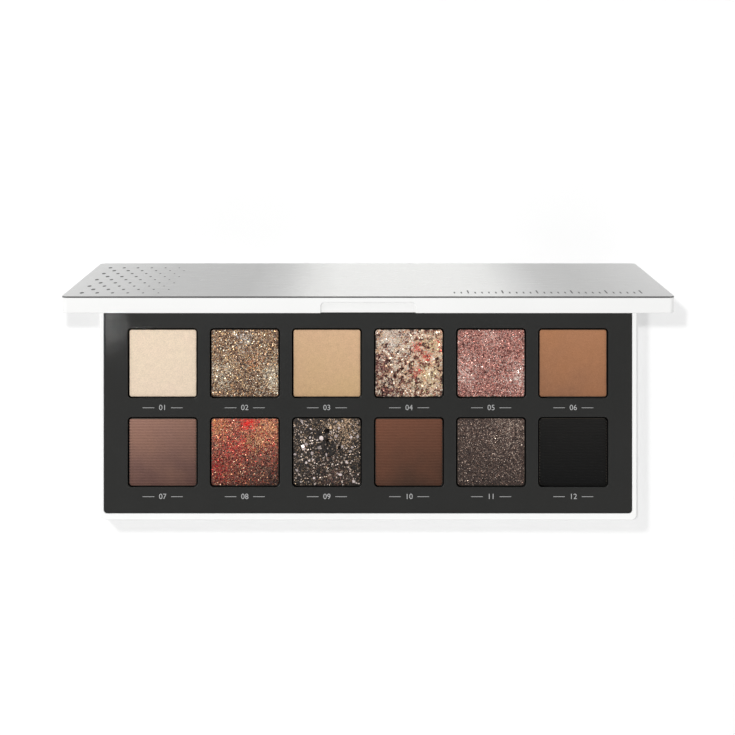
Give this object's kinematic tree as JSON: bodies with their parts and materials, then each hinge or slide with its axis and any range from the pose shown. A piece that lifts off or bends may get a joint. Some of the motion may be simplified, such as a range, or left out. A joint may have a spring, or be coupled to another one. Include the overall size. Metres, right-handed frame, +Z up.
{
  "type": "eyeshadow palette",
  "caption": "Slim rectangular makeup palette: square pans of pressed powder set in a dark deck, under a mirrored lid that swings on a back hinge.",
  "frame": {"origin": "middle of the base's underside, where the palette rests on a table", "axes": "+X along the length, with the pans numbered from -X; -Y towards the opening edge; +Y towards the hinge; +Z up"},
  "size_m": [0.166, 0.0796, 0.078],
  "materials": {
    "case_white": "gloss",
    "deck_dark": "satin",
    "pan_tinplate": "satin",
    "pin_steel": "ground",
    "magnet_nickel": "nickel plate",
    "glue": "hot-melt glue",
    "facing_silver": "satin anodised",
    "tape": "double-sided tape",
    "mirror_silver": "polished",
    "cream_matte": "matte",
    "champagne_glitter": "glitter",
    "tan_matte": "matte",
    "ivory_foil": "metallic foil",
    "rose_glitter": "glitter",
    "brown_matte": "matte",
    "mauve_matte": "matte",
    "ember_glitter": "glitter",
    "midnight_glitter": "glitter",
    "cocoa_matte": "matte",
    "taupe_glitter": "glitter",
    "black_matte": "matte"
  },
  "bodies": {
    "base": {"base_shell": "case_white", "pan_tray": "deck_dark", "pan_glue": "glue", "base_magnets": "magnet_nickel", "hinge_pin_left": "pin_steel", "hinge_pin_right": "pin_steel", "pan_01": "pan_tinplate", "pan_02": "pan_tinplate", "pan_03": "pan_tinplate", "pan_04": "pan_tinplate", "pan_05": "pan_tinplate", "pan_06": "pan_tinplate", "pan_07": "pan_tinplate", "pan_08": "pan_tinplate", "pan_09": "pan_tinplate", "pan_10": "pan_tinplate", "pan_11": "pan_tinplate", "pan_12": "pan_tinplate", "powder_01": "cream_matte", "powder_02": "champagne_glitter", "powder_03": "tan_matte", "powder_04": "ivory_foil", "powder_05": "rose_glitter", "powder_06": "brown_matte", "powder_07": "mauve_matte", "powder_08": "ember_glitter", "powder_09": "midnight_glitter", "powder_10": "cocoa_matte", "powder_11": "taupe_glitter", "powder_12": "black_matte"},
    "lid": {"lid_shell": "case_white", "lid_facing": "facing_silver", "lid_liner": "deck_dark", "lid_magnets": "magnet_nickel", "mirror_tape": "tape", "mirror": "mirror_silver"}
  },
  "joints": [
    {"name": "lid_hinge", "type": "hinge", "parent": "base", "child": "lid", "pos_m": [0, 0.03475, 0.0059], "axis": [-1, 0, 0], "range_deg": [-79.8, 35.2]}
  ]
}
